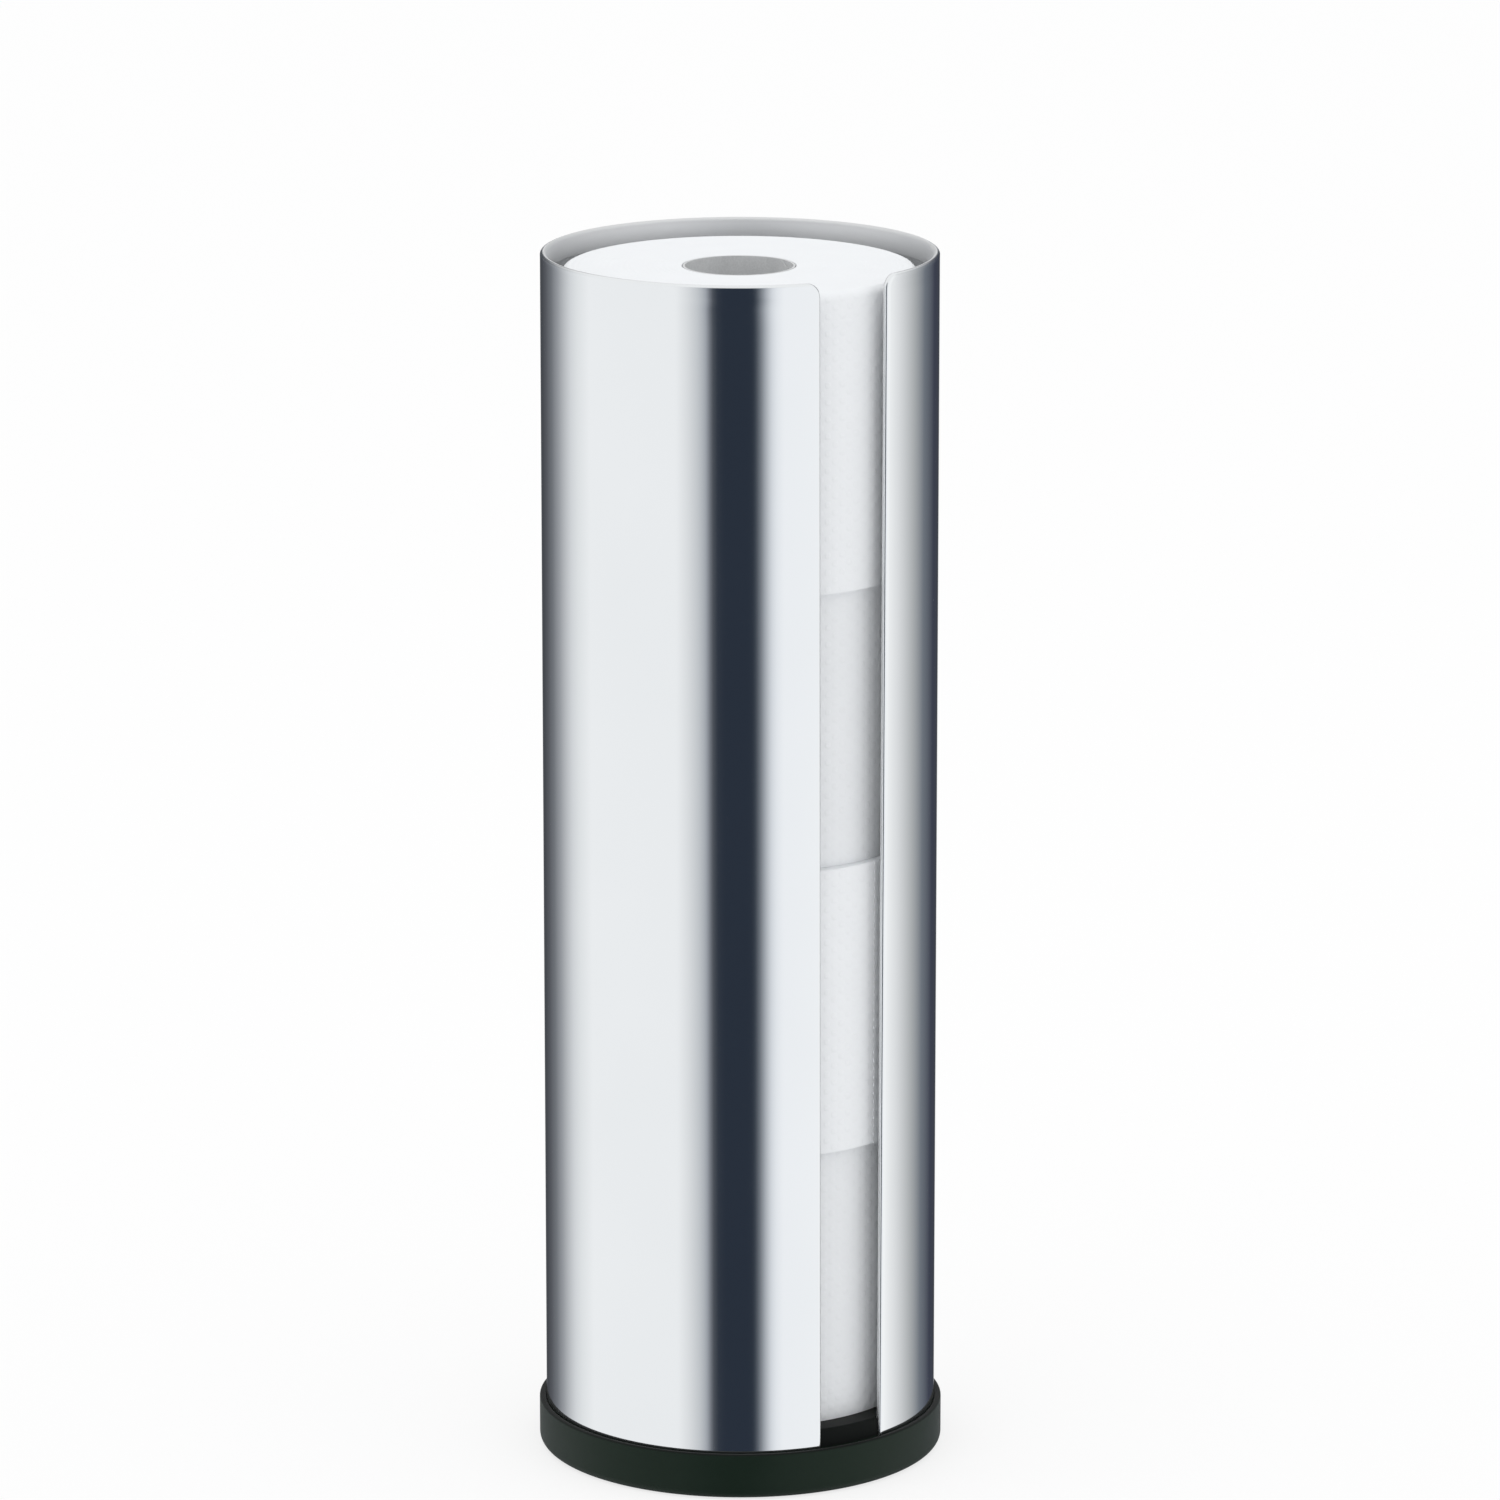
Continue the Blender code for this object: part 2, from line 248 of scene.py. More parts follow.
def hem_chain(depth, fold_radius, end):
    """One face of the folded sheet, as distance in from the edge and depth: along wall, fold and leaf.

    The fold's middle lies half the hem's thickness in from the edge and behind the outer face.
    """
    middle = HEM_THICKNESS / 2
    wall = np.concatenate([
        np.linspace(HEM_WIDTH, SLOT_CORNER_RADIUS, LEAF_POINTS)[:-1],
        np.linspace(SLOT_CORNER_RADIUS, middle, BESIDE_FOLD_POINTS)[:-1],
    ])
    leaf = np.concatenate([
        np.linspace(middle, SLOT_CORNER_RADIUS, BESIDE_FOLD_POINTS)[1:],
        np.linspace(SLOT_CORNER_RADIUS, end, LEAF_POINTS)[1:],
    ])
    turn = np.linspace(0, math.pi, FOLD_STEPS + 1)
    inset = np.concatenate([wall, middle - fold_radius * np.sin(turn), leaf])
    behind = np.concatenate([
        np.full(wall.shape, depth),
        middle - fold_radius * np.cos(turn),
        np.full(leaf.shape, HEM_THICKNESS - depth),
    ])
    return np.stack([inset, behind], axis=-1)


def hem_section():
    """The whole folded section as one line: outer face, leaf, the leaf's cut edge, and back inside the fold.

    Also gives how many of its points come before the cut edge.
    """
    outer = hem_chain(0, HEM_THICKNESS / 2, HEM_WIDTH - CUT_ROUNDING)
    inner = hem_chain(SHEET_THICKNESS, HEM_THICKNESS / 2 - SHEET_THICKNESS, HEM_WIDTH - CUT_ROUNDING)
    cut = np.array([
        (HEM_WIDTH, HEM_THICKNESS - CUT_ROUNDING),
        (HEM_WIDTH, HEM_THICKNESS - SHEET_THICKNESS + CUT_ROUNDING),
    ])
    return np.concatenate([outer, cut, inner[::-1]]), len(outer)


def edge_lines(inset):
    """Where the hemmed edge runs on the flat sheet at each inset: one slot edge, its corner, then the rim.

    A corner is an arc whose radius shrinks with the inset, and past its middle a mitre. The far half is the
    mirror image. The slot edges lean back by half the spread up to the rim. Gives lengths along the sheet and
    heights, one row for each inset and one column for each place.
    """
    inset = inset[:, None]
    centre = np.maximum(inset, SLOT_CORNER_RADIUS)
    radius = np.maximum(SLOT_CORNER_RADIUS - inset, 0)
    rise = np.linspace(0, 1, SIDE_STEPS + 1)[None, :]
    turn = np.linspace(0, FULL_TURN / 4, CORNER_STEPS + 1)[None, 1:]
    along = np.linspace(0, 1, RIM_STEPS + 1)[None, 1:-1]
    side = TUBE_LOW.z + rise * (TUBE_HIGH.z - centre - TUBE_LOW.z)
    lean = SLOT_SPREAD / 2
    near_length = np.hstack([inset + lean * rise, lean + centre - radius * np.cos(turn)])
    near_height = np.hstack([side, TUBE_HIGH.z - centre + radius * np.sin(turn)])
    rim_length = lean + centre + along * (SHEET_LENGTH - 2 * (lean + centre))
    rim_height = TUBE_HIGH.z - inset + 0 * along
    length = np.hstack([near_length, rim_length, SHEET_LENGTH - near_length[:, ::-1]])
    height = np.hstack([near_height, rim_height, near_height[:, ::-1]])
    return length, height


def rolled(length, depth, height):
    """The flat sheet wrapped round the axis: length becomes an angle, and depth comes off the radius."""
    return cylinder_points(SHEET_START + length / TUBE_RADIUS, TUBE_RADIUS - depth, height)


def make_hemmed_tube():
    """The rolled sheet: the hem's section carried along the edge, and two plain faces that fill the wall.

    Its material reads where the sheet is bent and which is its inner side.
    """
    section, face_count = hem_section()
    length, height = edge_lines(section[:, 0])
    hem = numbered(*length.shape)
    points = [rolled(length, section[:, 1:], height)]
    faces = [quads(hem)]

    near = length[0, : SIDE_STEPS + 1][:, None]
    along = np.linspace(0, 1, RIM_STEPS + 1)[None, :]
    wall_lengths = near + along * (SHEET_LENGTH - 2 * near)
    wall_heights = height[0, : SIDE_STEPS + 1][:, None]
    walls = []
    for depth in (0, SHEET_THICKNESS):
        walls.append(numbered(*wall_lengths.shape, sum(len(part) for part in points)))
        points.append(rolled(wall_lengths, depth, wall_heights))
        faces.append(quads(walls[-1]))
    faces.append(quads(np.stack([walls[0][0], walls[1][0]])))

    cut_ends = []
    for end in (0, -1):
        outer = hem[:face_count, end]
        inner = hem[::-1][:face_count, end]
        faces.append(quads(np.stack([outer, inner])))
        cut_ends.append(hem[face_count - 1 : len(section) - face_count + 1, end].tolist())
    every_face = np.concatenate(faces).tolist() + cut_ends
    every_point = np.concatenate(points)

    outside = (np.arange(len(section)) < face_count) & (section[:, 1] <= HEM_THICKNESS / 2)
    sides = np.zeros(every_point.shape)
    sides[: hem.size, 0] = np.repeat(section[:, 0] < HEM_THICKNESS / 2, hem.shape[1])
    sides[: hem.size, 1] = np.repeat(~outside, hem.shape[1])
    sides[walls[1].min() :, 1] = 1
    steel = polished_steel()
    marks = {"sheet_sides": sides}
    make_piece(
        "hemmed_tube", every_point, every_face, steel, "holder", "steel_tube", marks
    )


def cap_section():
    """Half section of the cap: its floor from the axis out, over groove and lip, and back underneath.

    Marks the places on the plug's side, which the hem recesses set in, and those at the top of the pockets.
    """
    ceiling = FLOOR_TOP - FLOOR_THICKNESS
    skirt = RECESS_RADIUS - SKIRT_WALL
    foot = LIP_RADIUS - FOOT_ROUNDING - FOOT_WIDTH
    middle = (HUB_RADIUS + skirt) / 2
    half_rib = RIB_THICKNESS / 2
    lip_inside = TUBE_RADIUS + FIT_GAP
    lip_level = LIP_HEIGHT - LIP_EDGE_RADIUS
    plug_edge = PLUG_RADIUS - FLOOR_EDGE_RADIUS
    floor_radii = np.linspace(0, plug_edge, FLOOR_STEPS + 1)[:-1]
    floor = np.stack([floor_radii, np.full(FLOOR_STEPS, FLOOR_TOP)], axis=-1)
    plug = np.vstack([
        arc((plug_edge, FLOOR_TOP - FLOOR_EDGE_RADIUS), FLOOR_EDGE_RADIUS, 90, 0),
        [(PLUG_RADIUS, SOLE_THICKNESS)],
    ])
    outside = np.vstack([
        [(lip_inside, SOLE_THICKNESS)],
        arc((lip_inside + LIP_EDGE_RADIUS, lip_level), LIP_EDGE_RADIUS, 180, 90),
        arc((LIP_RADIUS - LIP_EDGE_RADIUS, lip_level), LIP_EDGE_RADIUS, 90, 0),
        arc((LIP_RADIUS - FOOT_ROUNDING, FOOT_ROUNDING), FOOT_ROUNDING, 0, -90, 2 * ROUND_STEPS),
        [(foot, 0), (foot, RIB_SETBACK), (skirt, RIB_SETBACK)],
    ])
    pockets = np.array([
        (skirt, ceiling),
        (middle + half_rib, ceiling),
        (middle + half_rib, RIB_SETBACK),
        (middle - half_rib, RIB_SETBACK),
        (middle - half_rib, ceiling),
        (HUB_RADIUS, ceiling),
    ])
    inside = np.array([(HUB_RADIUS, RIB_SETBACK), (0, RIB_SETBACK)])
    section = np.vstack([floor, plug, outside, pockets, inside])
    on_plug = np.zeros(len(section), bool)
    on_plug[len(floor) : len(floor) + len(plug)] = True
    return section, on_plug, section[:, 1] == ceiling


def cap_angles(radius):
    """Angles of the cap's grid lines at each radius, and which lines lie in a recess or run on a rib.

    The lines go sector by sector. A rib keeps its thickness, so its sides stand off its middle by the arcsine
    of half the thickness over the radius.
    """
    sector = FULL_TURN / RIB_COUNT
    aside = np.arcsin(RIB_THICKNESS / 2 / np.maximum(radius, HUB_RADIUS))[:, None]
    slot_side = (SLOT_WIDTH / 2 - FIT_GAP) / TUBE_RADIUS
    slot_share = 0.5 - slot_side / (sector - RIB_THICKNESS / PLUG_RADIUS)
    beside = np.linspace(0, slot_share, BESIDE_SLOT_STEPS)
    across = np.linspace(slot_share, 1 - slot_share, SECTOR_STEPS)
    shares = np.concatenate([beside, across, 1 - beside[::-1]])
    beside_slot = np.abs(np.arange(len(shares)) - (len(shares) - 1) / 2) > (len(across) - 1) / 2
    lines, recessed, on_rib = [], [], []
    slot_sector = int(SLOT_MIDDLE % FULL_TURN / sector)
    for number in range(RIB_COUNT):
        lines.append(sector * number + aside + (sector - 2 * aside) * shares)
        lines.append(np.hstack([sector * (number + 1) - aside, sector * (number + 1) + aside]))
        recessed += [beside_slot & (number == slot_sector), np.zeros(2, bool)]
        on_rib += [np.zeros(len(shares), bool), np.ones(2, bool)]
    return np.hstack(lines), np.concatenate(recessed), np.concatenate(on_rib)


def make_moulded_cap():
    """The cap turned from its section; recesses pull the plug's side in, and ribs fill the pockets."""
    section, on_plug, at_ceiling = cap_section()
    angle, recessed, on_rib = cap_angles(section[:, 0])
    set_in = on_plug[:, None] & recessed[None, :]
    filled = at_ceiling[:, None] & on_rib[None, :]
    radius = np.where(set_in, np.minimum(section[:, :1], RECESS_RADIUS), section[:, :1])
    height = np.where(filled, RIB_SETBACK, section[:, 1:])
    in_groove = set_in & (height == SOLE_THICKNESS)
    height = np.where(in_groove, SOLE_THICKNESS - RECESS_RELIEF, height)
    faces = quads(numbered(*angle.shape), wrap_columns=True).tolist()
    points = cylinder_points(angle, radius, height)
    plastic = black_plastic()
    make_piece("moulded_cap", points, faces, plastic, "holder", "base_cap", {})


def paper_section(bore, low, height, top_radius):
    """The wound paper across its winding, once round: top face out, edge, side down, edge, bottom face in."""
    top_edge = (ROLL_RADIUS - top_radius, height - top_radius)
    low_edge = (ROLL_RADIUS - LOW_EDGE_RADIUS, low + LOW_EDGE_RADIUS)
    top = np.stack([np.linspace(bore, top_edge[0], END_STEPS), np.full(END_STEPS, height)], axis=-1)
    bottom = np.stack([np.linspace(low_edge[0], bore, END_STEPS), np.full(END_STEPS, low)], axis=-1)
    side_heights = np.linspace(top_edge[1], low_edge[1], SIDE_ROWS + 1)
    side = np.stack([np.full(side_heights.shape, ROLL_RADIUS), side_heights], axis=-1)
    return np.vstack([
        top[:-1],
        arc(top_edge, top_radius, 90, 0, 2 * ROUND_STEPS),
        side[1:-1],
        arc(low_edge, LOW_EDGE_RADIUS, 0, -90, 2 * ROUND_STEPS),
        bottom[1:],
    ])


def make_wound_paper(number, material):
    """Paper whose outside runs in by one lap per turn, to the step of its loose end.

    The end faces ripple as a spiral, a cosine of the radius less one pitch per turn. The side sags inwards in
    soft broad waves, a product of sines of angle and height plus a sine of the angle. The bottom is pressed
    down onto what the roll stands on, and only the uppermost roll keeps the full rounding of its top edge.
    """
    core_low, core_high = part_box(f"cardboard_core_{number}")
    middle = (core_low + core_high) / 2
    bore = (core_high.x - core_low.x) / 2 + FIT_GAP
    height = core_high.z - core_low.z
    top_radius = LOOSE_EDGE_RADIUS if number == ROLL_COUNT else TOP_EDGE_RADIUS
    section = paper_section(bore, -REST_SQUASH, height, top_radius)
    share = np.linspace(0, 1, ROLL_STEPS + 1)[None, :]
    angle = FULL_TURN * (LOOSE_END_SHARES[number - 1] + share)
    radius, level = section[:, :1], section[:, 1:]

    reach = np.clip((radius - ROLL_RADIUS + top_radius) / top_radius, 0, 1)
    fewer, more = SAG_WAVES_ROUND
    product = np.sin(fewer * angle + number) * np.sin(level * SAG_WAVES_UP + 2 * number)
    waves = product + np.sin(more * angle - 2 * number)
    sag = SAG_DEPTH * (waves / 2 + 1) / 2
    side_radius = radius - reach * (PAPER_LAP * share + sag)

    spiral = np.cos(FULL_TURN * (radius / RIPPLE_PITCH) - angle)
    uneven = RIPPLE_MEAN + RIPPLE_SWING * np.sin(2 * angle + RIPPLE_WANDER * radius + number)
    fade = np.clip((1 - reach) * (radius - bore) / RIPPLE_PITCH, 0, 1)
    ripple = RIPPLE_DEPTH * (1 + spiral) / 2 * uneven * fade
    upwards = np.sign(level - height / 2)
    points = cylinder_points(angle, side_radius, level - upwards * ripple)
    points += (middle.x, middle.y, core_low.z)
    faces = quads(numbered(len(section), share.size), True, True).tolist()
    winding = np.stack(np.broadcast_arrays(angle * ROLL_RADIUS, level, reach), axis=-1)
    name, body, node = f"wound_paper_{number}", f"roll_{number}", f"paper_roll_{number}"
    make_piece(name, points, faces, material, body, node, {"winding": winding})


def make_board_core(number, material):
    """A wound board tube whose grid lines lean with the winding, so that a few make its seam's groove."""
    low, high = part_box(f"cardboard_core_{number}")
    middle = (low + high) / 2
    outer = (high.x - low.x) / 2
    inner = outer - CORE_WALL
    levels = np.linspace(0, high.z - low.z, CORE_ROWS)
    section = np.vstack([
        np.stack([np.full(levels.shape, outer), levels], axis=-1),
        np.stack([np.full(levels.shape, inner), levels[::-1]], axis=-1),
    ])
    seam = np.linspace(-SEAM_WIDTH, SEAM_WIDTH, SEAM_POINTS) / inner
    between = np.linspace(seam[-1], FULL_TURN + seam[0], CORE_STEPS)[1:-1]
    around = np.concatenate([seam, between])[None, :]
    groove = np.clip(1 - np.abs(around) * inner / SEAM_WIDTH, 0, 1)
    radius, level = section[:, :1], section[:, 1:]
    away = np.where(radius > inner, -1, 1)
    angle = around + FULL_TURN * (level / SEAM_PITCH + LOOSE_END_SHARES[number - 1])
    points = cylinder_points(angle, radius + away * SEAM_DEPTH * groove, level)
    points += (middle.x, middle.y, low.z)
    faces = quads(numbered(len(section), around.size), True, True).tolist()
    name, body, node = f"board_core_{number}", f"roll_{number}", f"cardboard_core_{number}"
    make_piece(name, points, faces, material, body, node, {})


def feed(tree, socket, value):
    """Gives a socket its value, or links it to the output that feeds it."""
    if isinstance(value, bpy.types.NodeSocket):
        tree.links.new(value, socket)
    else:
        socket.default_value = value


def place(tree, kind, sockets=None, **settings):
    """Adds a node with its settings. Sockets maps an input's name or number to what it is fed."""
    made = tree.nodes.new(kind)
    for name, value in settings.items():
        setattr(made, name, value)
    for name, value in (sockets or {}).items():
        feed(tree, made.inputs[name], value)
    return made


def calculate(tree, operation, *values):
    """A Math node on values or outputs; gives its output."""
    return place(tree, "ShaderNodeMath", dict(enumerate(values)), operation=operation).outputs[0]


def remapped(tree, value, low, high, to_low, to_high):
    """The value moved linearly from one range to another, and held within it."""
    sockets = {"Value": value, "From Min": low, "From Max": high, "To Min": to_low, "To Max": to_high}
    return place(tree, "ShaderNodeMapRange", sockets).outputs["Result"]


def blended(tree, share, first, second):
    """A colour mixed from two by a share."""
    return place(tree, "ShaderNodeMix", {0: share, 6: first, 7: second}, data_type="RGBA").outputs[2]


def new_material(name, **constants):
    """A material with its Principled shader, whose even values are set on the shader's own sockets."""
    material = bpy.data.materials.new(name)
    material.use_nodes = True
    tree = material.node_tree
    shader = tree.nodes["Principled BSDF"]
    for socket, value in constants.items():
        shader.inputs[socket.replace("_", " ")].default_value = value
    return material, tree, shader


def relief_group():
    """Shared effect: noise on the given coordinates as a mask, and the surface bumped by it."""
    group = bpy.data.node_groups.new("fine_relief", "ShaderNodeTree")
    group.interface.new_socket(name="Coordinates", in_out="INPUT", socket_type="NodeSocketVector")
    for name in ("Size", "Detail", "Strength", "Depth"):
        group.interface.new_socket(name=name, in_out="INPUT", socket_type="NodeSocketFloat")
    group.interface.new_socket(name="Mask", in_out="OUTPUT", socket_type="NodeSocketFloat")
    group.interface.new_socket(name="Normal", in_out="OUTPUT", socket_type="NodeSocketVector")
    given = place(group, "NodeGroupInput").outputs
    pattern = {"Vector": given["Coordinates"], "Scale": given["Size"], "Detail": given["Detail"]}
    mask = place(group, "ShaderNodeTexNoise", pattern).outputs["Fac"]
    raised = {"Strength": given["Strength"], "Distance": given["Depth"], "Height": mask}
    normal = place(group, "ShaderNodeBump", raised).outputs["Normal"]
    place(group, "NodeGroupOutput", {"Mask": mask, "Normal": normal})
    return group


def add_relief(tree, relief, stretch=(1, 1, 1)):
    """Puts the shared relief into a material with its own values and stretch; gives its outputs."""
    sockets = {"Coordinates": object_coordinates(tree, stretch)}
    sockets.update(zip(("Size", "Detail", "Strength", "Depth"), relief))
    return place(tree, "ShaderNodeGroup", sockets, node_tree=RELIEF).outputs


def object_coordinates(tree, stretch=(1, 1, 1)):
    """The piece's own coordinates in metres, stretched along each axis."""
    own = place(tree, "ShaderNodeTexCoord").outputs["Object"]
    return place(tree, "ShaderNodeMapping", {"Vector": own, "Scale": stretch}).outputs["Vector"]


def polished_steel():
    """Stainless sheet: mirror-bright outside with faint upright polishing marks, and satin grey inside.

    The bend of its hem is duller than the rest of the outside.
    """
    material, tree, shader = new_material("polished_steel", Metallic=1.0)
    marks = add_relief(tree, STEEL_MARKS, MARKS_STRETCH)
    clouds = add_relief(tree, STEEL_CLOUDS)
    bright = blended(tree, clouds["Mask"], *BRIGHT_STEEL)
    satin = blended(tree, clouds["Mask"], *SATIN_STEEL)
    sides = place(tree, "ShaderNodeAttribute", attribute_name="sheet_sides").outputs["Vector"]
    bent, inner_side, _ = place(tree, "ShaderNodeSeparateXYZ", {0: sides}).outputs
    tree.links.new(blended(tree, inner_side, bright, satin), shader.inputs["Base Color"])
    streaks = remapped(tree, marks["Mask"], *NOISE_RANGE, 0, MARKS_ROUGHNESS)
    streaked = calculate(tree, "ADD", streaks, STEEL_ROUGHNESS)
    clouded = calculate(tree, "MULTIPLY_ADD", clouds["Mask"], CLOUDS_ROUGHNESS, streaked)
    dulled = calculate(tree, "MULTIPLY_ADD", bent, BEND_ROUGHNESS, clouded)
    rough = calculate(tree, "MULTIPLY_ADD", inner_side, INNER_SIDE_ROUGHNESS, dulled)
    tree.links.new(rough, shader.inputs["Roughness"])
    tree.links.new(marks["Normal"], shader.inputs["Normal"])
    return material


def black_plastic():
    """Satin black moulding with a fine grain and a few duller patches.

    Above its lip, where the tube encloses it, it is more matt; there and on the lip's rounded top edge its
    colour turns to a deeper black, which is painted shade.
    """
    material, tree, shader = new_material(
        "black_plastic", Specular_IOR_Level=0.11, Sheen_Weight=0.14, Sheen_Roughness=0.4
    )
    grain = add_relief(tree, PLASTIC_GRAIN)
    patches = add_relief(tree, PLASTIC_PATCHES)
    own_place = place(tree, "ShaderNodeSeparateXYZ", {0: object_coordinates(tree)}).outputs
    above_lip = remapped(tree, own_place["Z"], LIP_HEIGHT - LIP_EDGE_RADIUS, LIP_HEIGHT, 0, 1)
    outside = blended(tree, patches["Mask"], *OUTSIDE_BLACK)
    # Painted shade: above the lip the colour turns to the deeper black that stands in for the shade inside
    # the tube; the added roughness there is the surface's own
    inside = blended(tree, patches["Mask"], *PAINTED_SHADE_BLACK)
    tree.links.new(blended(tree, above_lip, outside, inside), shader.inputs["Base Color"])
    dull = remapped(tree, patches["Mask"], *NOISE_RANGE, *PLASTIC_ROUGHNESS)
    rough = calculate(tree, "MULTIPLY_ADD", above_lip, ABOVE_LIP_ROUGHNESS, dull)
    tree.links.new(rough, shader.inputs["Roughness"])
    tree.links.new(grain["Normal"], shader.inputs["Normal"])
    return material


def tissue_paper():
    """Soft white tissue: cloudy fibres, a fine crepe, and rows of embossed dots round the roll's outside.

    The dots rise with the product of a sine of the length along the sheet and a sine of the height.
    """
    material, tree, shader = new_material("tissue_paper", Specular_IOR_Level=0.15)
    crepe = add_relief(tree, PAPER_CREPE, CREPE_STRETCH)
    fibres = add_relief(tree, PAPER_FIBRES)
    tree.links.new(blended(tree, fibres["Mask"], *TISSUE_WHITE), shader.inputs["Base Color"])
    rough = remapped(tree, fibres["Mask"], *NOISE_RANGE, *PAPER_ROUGHNESS)
    tree.links.new(rough, shader.inputs["Roughness"])
    winding = place(tree, "ShaderNodeAttribute", attribute_name="winding").outputs["Vector"]
    parts = place(tree, "ShaderNodeSeparateXYZ", {0: winding}).outputs
    phases = [calculate(tree, "MULTIPLY", parts[axis], FULL_TURN / EMBOSS_PITCH) for axis in "XY"]
    waves = [calculate(tree, "SINE", phase) for phase in phases]
    dots = remapped(tree, calculate(tree, "MULTIPLY", *waves), *EMBOSS_RANGE, 0, 1)
    raised = calculate(tree, "MULTIPLY", dots, parts["Z"])
    bumps = {"Height": raised, "Distance": EMBOSS_DEPTH, "Normal": crepe["Normal"]}
    tree.links.new(place(tree, "ShaderNodeBump", bumps).outputs["Normal"], shader.inputs["Normal"])
    return material


def core_board():
    """Grey wound board with flecks of its recycled fibres."""
    material, tree, shader = new_material("core_board", Specular_IOR_Level=0.25)
    flecks = add_relief(tree, BOARD_FLECKS)
    clouds = add_relief(tree, BOARD_CLOUDS)
    mottled = calculate(tree, "ADD", flecks["Mask"], clouds["Mask"])
    share = remapped(tree, mottled, *MOTTLE_RANGE, 0, 1)
    tree.links.new(blended(tree, share, *BOARD_GREY), shader.inputs["Base Color"])
    rough = remapped(tree, clouds["Mask"], *NOISE_RANGE, *BOARD_ROUGHNESS)
    tree.links.new(rough, shader.inputs["Roughness"])
    tree.links.new(flecks["Normal"], shader.inputs["Normal"])
    return material


# What stands round the holder and shows in its mirror: degrees from where the camera stands, positive to the
# camera's right, and the colour there. A dark gap in front, white sheets to both sides, and behind the holder
# a dim room with a light strip in its middle. The tones were read off the photograph's tube column by column
# and then corrected against renders.
SURROUNDINGS = (
    (-180, (0.90, 0.90, 0.91)),
    (-172, (0.07, 0.075, 0.085)),
    (-162, (0.065, 0.07, 0.08)),
    (-151, (0.105, 0.11, 0.125)),
    (-140, (0.19, 0.20, 0.22)),
    (-130, (0.37, 0.38, 0.405)),
    (-115, (0.77, 0.78, 0.80)),
    (-108, (0.89, 0.90, 0.91)),
    (-97, (1.01, 1.01, 1.02)),
    (-37, (1.0, 1.0, 1.01)),
    (-30, (0.84, 0.845, 0.86)),
    (-24, (0.65, 0.665, 0.69)),
    (-20, (0.455, 0.475, 0.515)),
    (-18, (0.265, 0.28, 0.315)),
    (-16, (0.095, 0.105, 0.125)),
    (-13, (0.036, 0.045, 0.063)),
    (-9, (0.026, 0.035, 0.053)),
    (5, (0.026, 0.035, 0.053)),
    (8, (0.032, 0.042, 0.06)),
    (10, (0.10, 0.115, 0.14)),
    (12, (0.22, 0.24, 0.27)),
    (15, (0.49, 0.51, 0.55)),
    (18, (0.77, 0.79, 0.83)),
    (21, (0.92, 0.935, 0.97)),
    (25, (1.02, 1.025, 1.05)),
    (94, (1.07, 1.07, 1.07)),
    (104, (0.86, 0.86, 0.87)),
    (120, (0.49, 0.50, 0.51)),
    (134, (0.18, 0.20, 0.232)),
    (152, (0.052, 0.058, 0.085)),
    (170, (0.05, 0.055, 0.07)),
    (180, (0.90, 0.90, 0.91)),
)


def make_surroundings():
    """World light: mirrors see how it changes with the direction, and what is matt sees a share of that.

    Towards overhead it turns white, and straight from the camera it is white all over.
    """
    world = bpy.data.worlds.new("studio")
    bpy.context.scene.world = world
    world.use_nodes = True
    tree = world.node_tree
    direction = place(tree, "ShaderNodeTexCoord").outputs["Generated"]
    parts = place(tree, "ShaderNodeSeparateXYZ", {0: direction}).outputs
    heading = calculate(tree, "ARCTAN2", parts["X"], calculate(tree, "MULTIPLY", parts["Y"], -1.0))
    turns = calculate(tree, "MULTIPLY_ADD", heading, 1 / FULL_TURN, 0.5 - CAMERA_AZIMUTH / FULL_TURN)
    ramp = place(tree, "ShaderNodeValToRGB", {"Fac": calculate(tree, "FRACT", turns)})
    stops = ramp.color_ramp.elements
    while len(stops) < len(SURROUNDINGS):
        stops.new(1.0)
    for stop, (degrees, colour) in zip(stops, SURROUNDINGS):
        stop.position = degrees / 360 + 0.5
        stop.color = (*colour, 1)
    overhead = remapped(tree, parts["Z"], *OVERHEAD_RANGE, 0, 1)
    mirrored = blended(tree, overhead, ramp.outputs["Color"], WHITE)
    rays = place(tree, "ShaderNodeLightPath").outputs
    lit = blended(tree, SKY_SHAPE_SHARE, (SKY_LEVEL, SKY_LEVEL, SKY_LEVEL, 1), mirrored)
    colour = blended(tree, rays["Is Glossy Ray"], lit, mirrored)
    straight = calculate(tree, "MAXIMUM", rays["Is Camera Ray"], rays["Is Transmission Ray"])
    seen = blended(tree, straight, colour, WHITE)
    tree.links.new(seen, tree.nodes["Background"].inputs["Color"])
    world.cycles.sampling_method = "NONE"


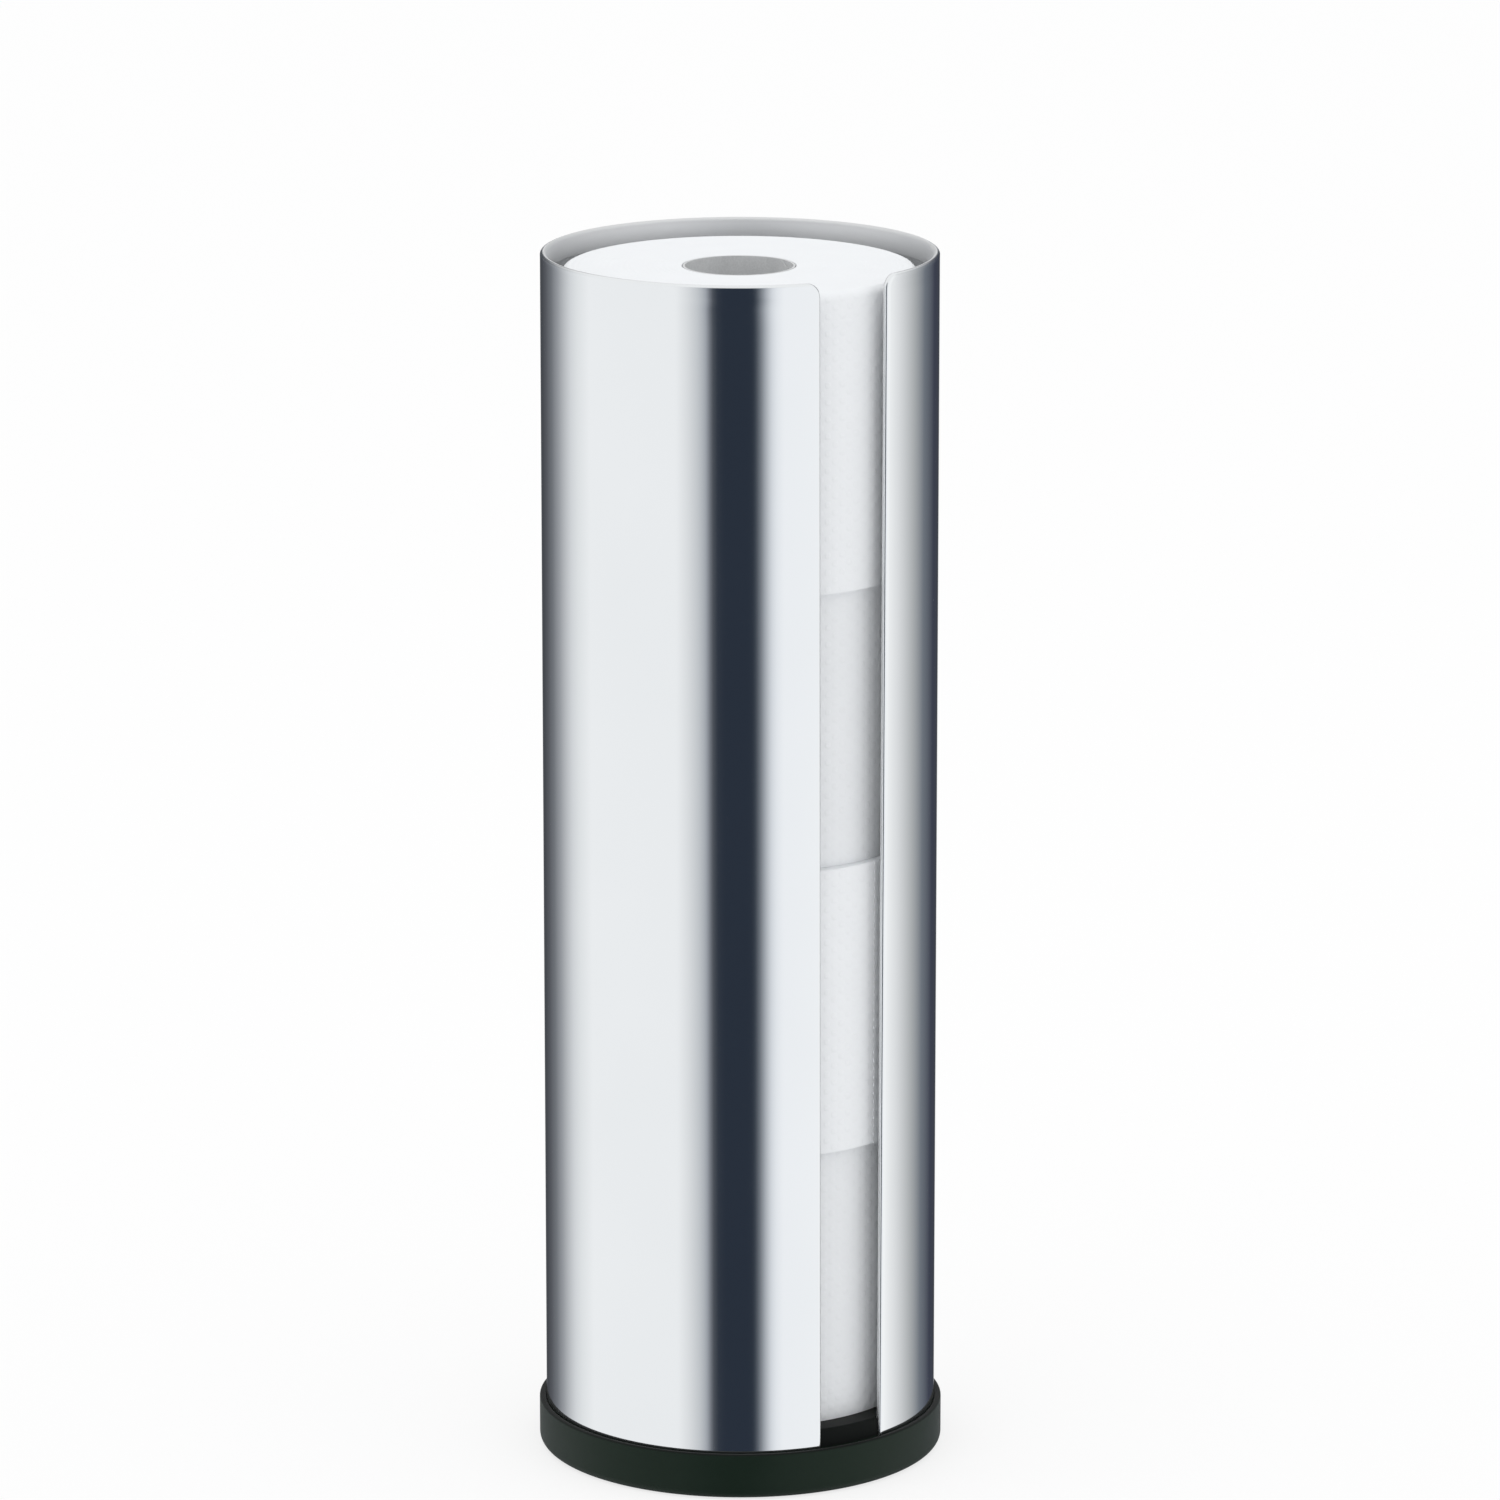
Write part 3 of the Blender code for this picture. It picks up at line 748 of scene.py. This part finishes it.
def make_floor():
    """A plain white floor that keeps a share of the holder's shadow."""
    half = FLOOR_SIZE / 2
    mesh = bpy.data.meshes.new("floor")
    corners = [(-half, -half), (half, -half), (half, half), (-half, half)]
    mesh.from_pydata([(x, y, -FLOOR_DROP) for x, y in corners], [], [(0, 1, 2, 3)])
    floor = bpy.data.objects.new("floor", mesh)
    bpy.context.scene.collection.objects.link(floor)
    floor.visible_glossy = False

    material = bpy.data.materials.new("white_floor")
    material.use_nodes = True
    tree = material.node_tree
    tree.nodes.remove(tree.nodes["Principled BSDF"])
    matte = place(tree, "ShaderNodeBsdfDiffuse", {"Color": FLOOR_WHITE}).outputs[0]
    glow = place(tree, "ShaderNodeEmission", {"Color": WHITE, "Strength": 1.0}).outputs[0]
    camera_ray = place(tree, "ShaderNodeLightPath").outputs["Is Camera Ray"]
    share = calculate(tree, "MULTIPLY", camera_ray, 1 - FLOOR_SHADE_SHARE)
    mixed = place(tree, "ShaderNodeMixShader", {0: share, 1: matte, 2: glow}).outputs[0]
    tree.links.new(mixed, tree.nodes["Material Output"].inputs["Surface"])
    mesh.materials.append(material)


def make_top_light():
    """A wide soft lamp above, which makes what faces up a little brighter than what faces sideways."""
    lamp = bpy.data.lights.new("top_light", "AREA")
    lamp.shape = "DISK"
    lamp.size = LAMP_SIZE
    lamp.energy = LAMP_ENERGY
    item = bpy.data.objects.new("top_light", lamp)
    item.location = LAMP_PLACE
    item.rotation_euler = LAMP_TILT
    item.visible_glossy = False
    item.visible_camera = False
    bpy.context.scene.collection.objects.link(item)


def make_camera():
    """The photograph's view: its place round the axis, pitched down, the axis a little left of the middle."""
    camera = bpy.data.cameras.new("camera")
    camera.sensor_width = SENSOR_WIDTH
    camera.lens = SENSOR_WIDTH * FOCAL_PIXELS / IMAGE_PIXELS
    item = bpy.data.objects.new("camera", camera)
    item.location = (
        CAMERA_DISTANCE * math.sin(CAMERA_AZIMUTH),
        -CAMERA_DISTANCE * math.cos(CAMERA_AZIMUTH),
        CAMERA_HEIGHT,
    )
    aside = math.atan((IMAGE_PIXELS / 2 - AXIS_PIXEL) / FOCAL_PIXELS)
    item.rotation_euler = (FULL_TURN / 4 - CAMERA_PITCH, 0, CAMERA_AZIMUTH - aside)
    bpy.context.scene.collection.objects.link(item)
    bpy.context.scene.camera = item


RELIEF = relief_group()
make_hemmed_tube()
make_moulded_cap()
paper = tissue_paper()
board = core_board()
for number in range(1, ROLL_COUNT + 1):
    make_wound_paper(number, paper)
    make_board_core(number, board)
make_surroundings()
make_floor()
make_top_light()
make_camera()
bpy.context.scene.view_settings.view_transform = "Standard"
